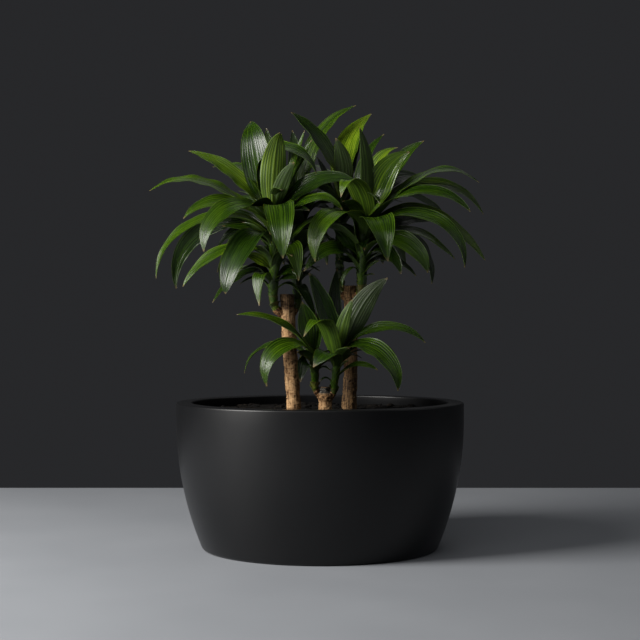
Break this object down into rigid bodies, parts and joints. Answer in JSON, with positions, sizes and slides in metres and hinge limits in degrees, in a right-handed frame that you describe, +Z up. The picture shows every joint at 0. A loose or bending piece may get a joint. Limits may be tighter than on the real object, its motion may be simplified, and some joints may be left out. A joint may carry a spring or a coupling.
{
  "type": "potted dracaena",
  "caption": "Potted dracaena: cut woody canes with shoots of long arching strap leaves, standing in soil in a wide, low round bowl planter.",
  "frame": {"origin": "middle of the bowl's flat foot, on the floor", "axes": "+Z up along the bowl's axis; the side seen first faces -Y, with +X to its right"},
  "size_m": [0.7019, 0.6, 0.9417],
  "materials": {
    "planter": "matte black, faintly satin",
    "soil": "dark, crumbly potting soil",
    "cane": "dry straw-coloured bark with ring scars and dark cracks",
    "leaf": "glossy deep green with finely pleated blades"
  },
  "bodies": {
    "root": {"planter": "planter", "soil": "soil", "cane_left": "cane", "cane_right": "cane", "cane_middle": "cane", "shoot_left_front": "leaf", "shoot_left_back": "leaf", "shoot_right_front": "leaf", "shoot_right_back": "leaf", "shoot_middle_left": "leaf", "shoot_middle_right": "leaf"}
  },
  "joints": []
}
